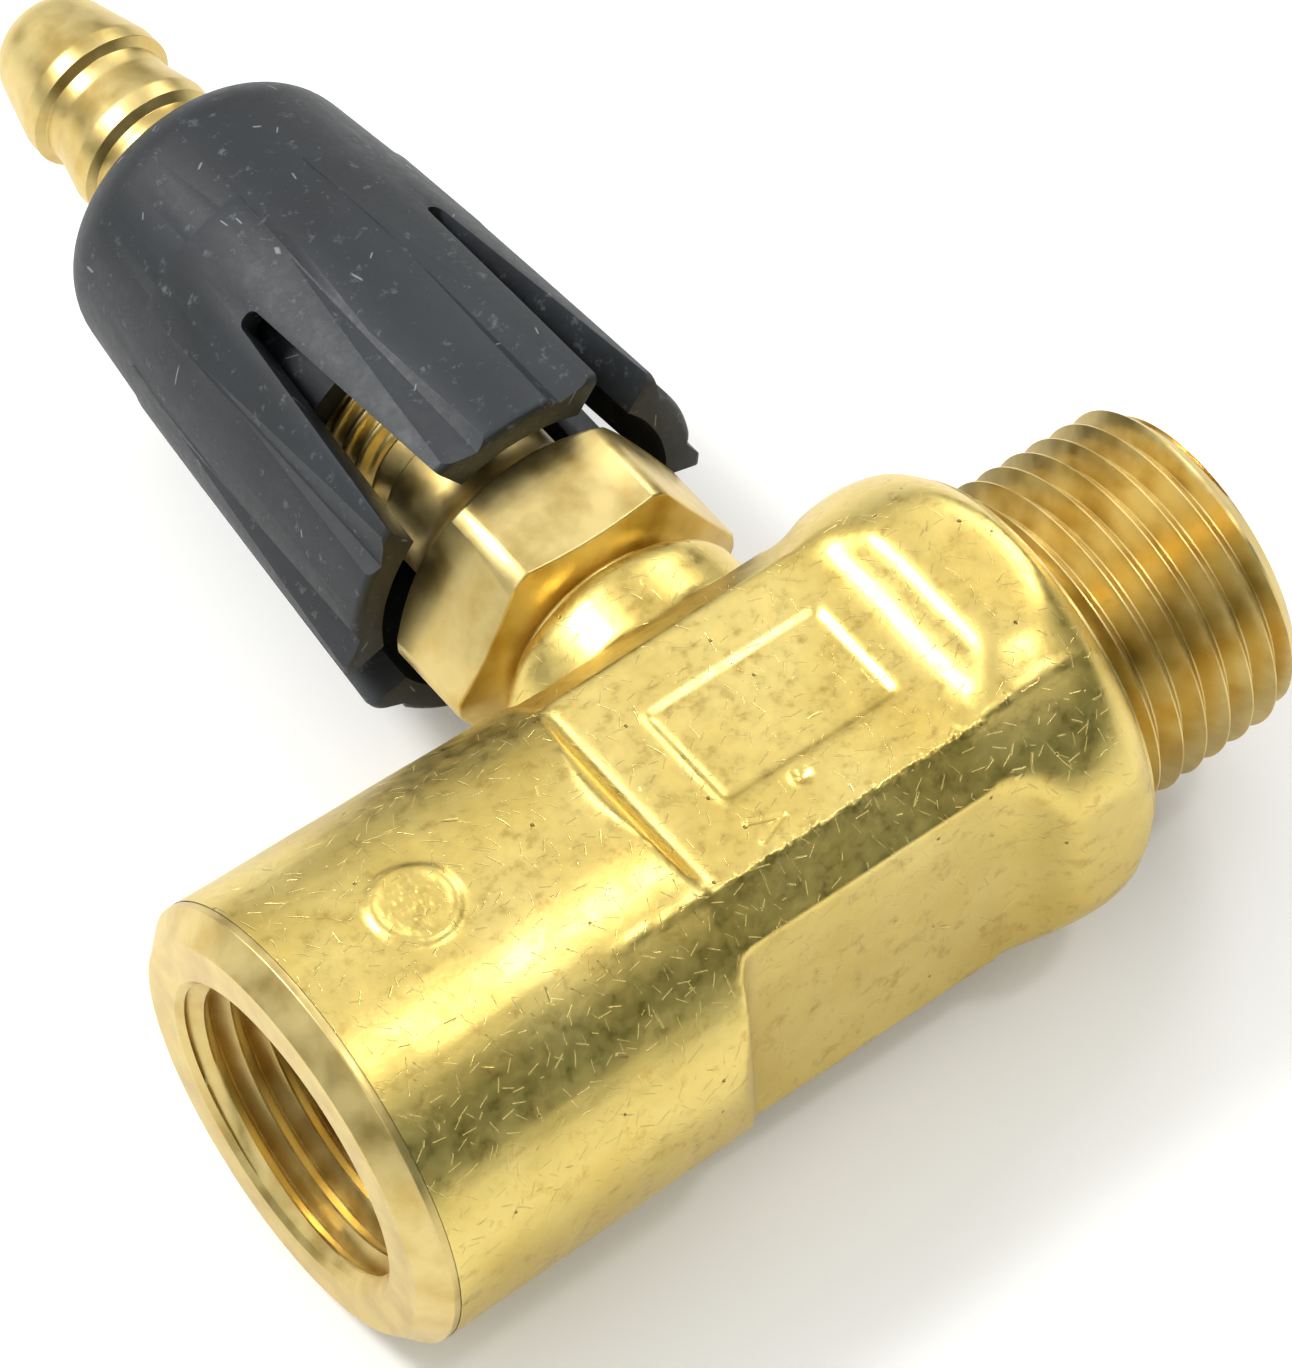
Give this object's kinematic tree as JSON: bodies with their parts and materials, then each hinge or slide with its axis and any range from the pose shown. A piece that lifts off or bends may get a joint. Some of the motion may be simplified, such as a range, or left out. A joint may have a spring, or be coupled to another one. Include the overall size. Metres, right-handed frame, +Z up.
{
  "type": "chemical injector",
  "caption": "Brass venturi chemical injector: pipe-threaded tee with a side hex gland, fluted metering knob and hose barb.",
  "frame": {"origin": "centre of the inlet face, on the run's axis", "axes": "+X along the run from inlet to outlet, +Y along the branch towards the hose barb, +Z up off the flat that faces the camera"},
  "size_m": [0.0524, 0.0723, 0.023],
  "materials": {
    "forged_brass": "forged, lightly tumbled",
    "turned_brass": "turned",
    "knob_plastic": "moulded, slightly worn",
    "seal_rubber": "smooth",
    "spring_steel": "bright"
  },
  "bodies": {
    "tee": {"body": "forged_brass", "jet_nozzle": "turned_brass", "jet_o_ring": "seal_rubber", "diffuser": "turned_brass", "diffuser_o_ring": "seal_rubber", "gland": "turned_brass", "gland_o_ring": "seal_rubber", "check_seat": "turned_brass", "check_spring": "spring_steel", "spring_retainer": "turned_brass"},
    "stem": {"hose_barb": "turned_brass", "metering_needle": "spring_steel", "stem_o_ring_lower": "seal_rubber", "stem_o_ring_upper": "seal_rubber", "thrust_washer": "turned_brass", "stem_circlip": "spring_steel"},
    "knob": {"knob": "knob_plastic", "knob_nut": "turned_brass"},
    "ball": {"check_ball": "spring_steel"}
  },
  "joints": [
    {"name": "stem_slide", "type": "slide", "parent": "tee", "child": "stem", "axis": [0, 1, 0], "range_m": [-0.00185, 0.0029]},
    {"name": "knob_turn", "type": "hinge", "parent": "stem", "child": "knob", "pos_m": [0.0281, 0.035, 0], "axis": [0, 1, 0], "range_deg": [-630, 990]},
    {"name": "ball_lift", "type": "slide", "parent": "tee", "child": "ball", "axis": [0, -1, 0], "range_m": [0, 0.001], "stiffness_N_per_m": 30, "springref_m": -0.002, "deforming": ["check_spring"]}
  ],
  "couplings": [
    {"joint": "knob_turn", "follows": "stem_slide", "rad_per_m": 5936.9}
  ]
}
